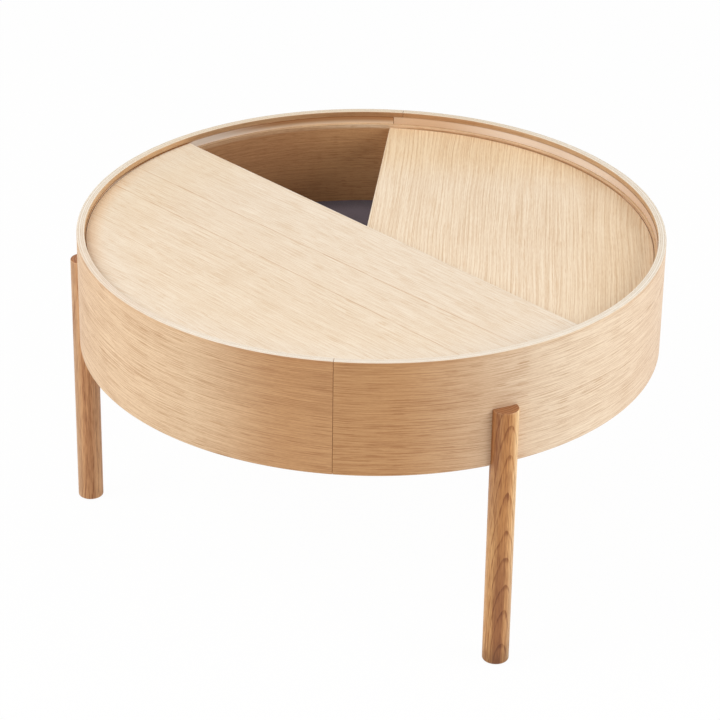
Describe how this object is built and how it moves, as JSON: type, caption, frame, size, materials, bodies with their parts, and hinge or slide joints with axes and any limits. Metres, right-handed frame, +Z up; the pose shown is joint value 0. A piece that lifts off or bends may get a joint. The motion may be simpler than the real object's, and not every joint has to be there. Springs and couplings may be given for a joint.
{
  "type": "round coffee table with storage",
  "caption": "Low round oak table: a bent-plywood drum on round legs, with a fixed half-round top and an upper half-round top that turns aside to open a felt-lined store.",
  "frame": {"origin": "on the floor, under the middle of the table's bounding box; the drum's axis stands at x = 0.008 m, y = 0", "axes": "+Z up; the hoop's two seams lie front and back, at -Y and +Y of the drum's axis; the fixed half top is on the +X side and one leg is on the -X side"},
  "size_m": [0.676, 0.66, 0.38],
  "materials": {
    "oak_veneer": "matt clear lacquer on oak veneer",
    "oak_ply": "matt clear lacquer on oak-faced plywood",
    "oak_solid": "satin oil on solid oak",
    "hardwood": "planed, unfinished",
    "strip_plastic": "satin",
    "felt": "wool felt",
    "nylon": "moulded, satin",
    "zinc_steel": "zinc plated"
  },
  "bodies": {
    "drum": {"hoop_left": "oak_veneer", "hoop_right": "oak_veneer", "liner_back": "oak_ply", "liner_front": "oak_ply", "guide_strip": "strip_plastic", "base_panel": "oak_ply", "felt_mat": "felt", "fixed_top": "oak_veneer", "pivot_bush": "nylon", "pivot_washer": "nylon", "top_rail": "hardwood", "rail_cleat_back": "hardwood", "rail_cleat_front": "hardwood", "top_cleat_1": "hardwood", "top_cleat_2": "hardwood", "top_cleat_3": "hardwood", "cleat_screw_1": "zinc_steel", "cleat_screw_2": "zinc_steel", "cleat_screw_3": "zinc_steel", "rail_screw_1": "zinc_steel", "rail_screw_2": "zinc_steel", "rail_screw_3": "zinc_steel", "rail_screw_4": "zinc_steel", "leg_left": "oak_solid", "leg_front": "oak_solid", "leg_back": "oak_solid", "foot_glide_left": "nylon", "foot_glide_front": "nylon", "foot_glide_back": "nylon", "leg_bolt_left_lower": "zinc_steel", "leg_bolt_left_upper": "zinc_steel", "leg_bolt_front_lower": "zinc_steel", "leg_bolt_front_upper": "zinc_steel", "leg_bolt_back_lower": "zinc_steel", "leg_bolt_back_upper": "zinc_steel", "leg_insert_left_lower": "zinc_steel", "leg_insert_left_upper": "zinc_steel", "leg_insert_front_lower": "zinc_steel", "leg_insert_front_upper": "zinc_steel", "leg_insert_back_lower": "zinc_steel", "leg_insert_back_upper": "zinc_steel"},
    "turning_leaf": {"turning_top": "oak_veneer", "pivot_pin": "zinc_steel"}
  },
  "joints": [
    {"name": "top_turn", "type": "hinge", "parent": "drum", "child": "turning_leaf", "pos_m": [0.008, 0, 0.365], "axis": [0, 0, 1], "continuous": true}
  ]
}
